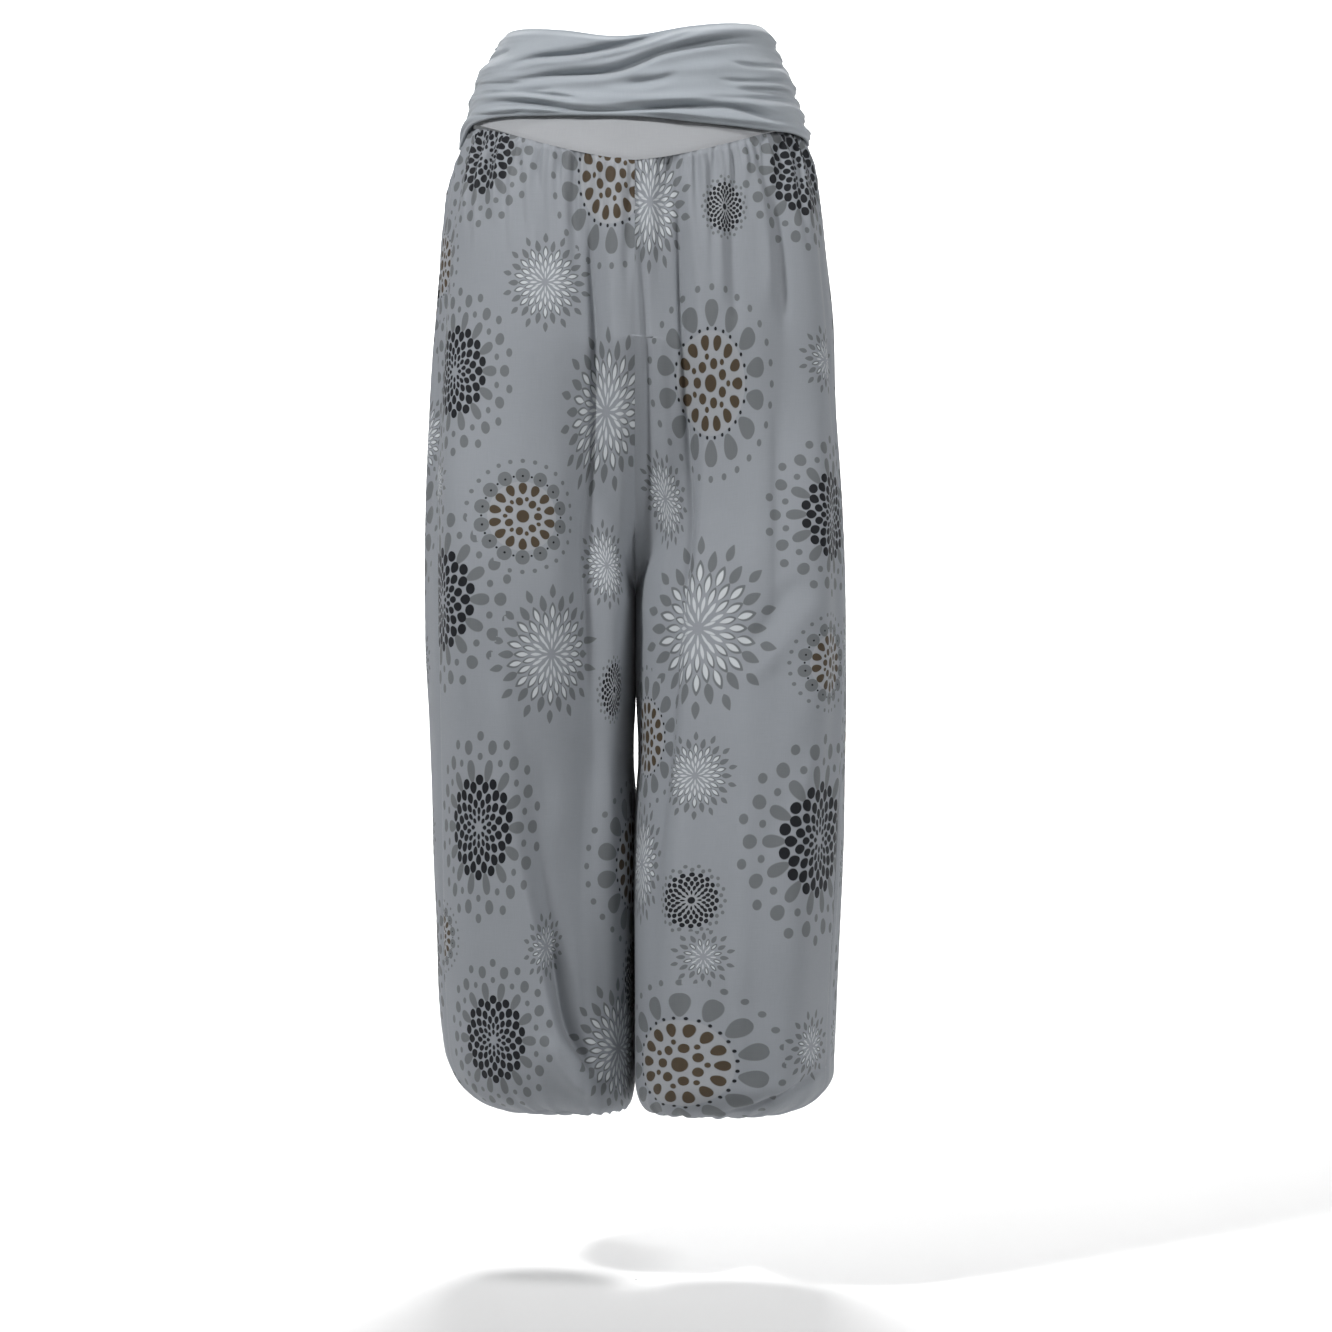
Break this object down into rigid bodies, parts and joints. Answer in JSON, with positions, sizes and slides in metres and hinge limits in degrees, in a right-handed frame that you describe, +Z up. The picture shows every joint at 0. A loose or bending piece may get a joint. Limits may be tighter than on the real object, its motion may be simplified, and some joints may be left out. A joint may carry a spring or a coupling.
{
  "type": "harem pants",
  "caption": "Harem pants with a ruched fold-over jersey waist, a V-edged yoke and full printed legs gathered into elastic cuffs.",
  "frame": {"origin": "centre of the waist opening, at the mean height of the band's top edge, where the wearer's waist holds the garment", "axes": "+Z up along the wearer's body, -Y towards the wearer's front, +X towards the wearer's left"},
  "size_m": [0.4007, 0.3158, 1.0363],
  "materials": {
    "band_jersey": "matte",
    "yoke_jersey": "matte",
    "printed_viscose": "matte"
  },
  "bodies": {
    "root": {"band_back": "band_jersey", "band_front": "band_jersey", "yoke_back": "yoke_jersey", "yoke_front": "yoke_jersey", "leg_back_left": "printed_viscose", "leg_back_right": "printed_viscose", "leg_front_left": "printed_viscose", "leg_front_right": "printed_viscose", "cuff_left": "printed_viscose", "cuff_right": "printed_viscose"}
  },
  "joints": []
}
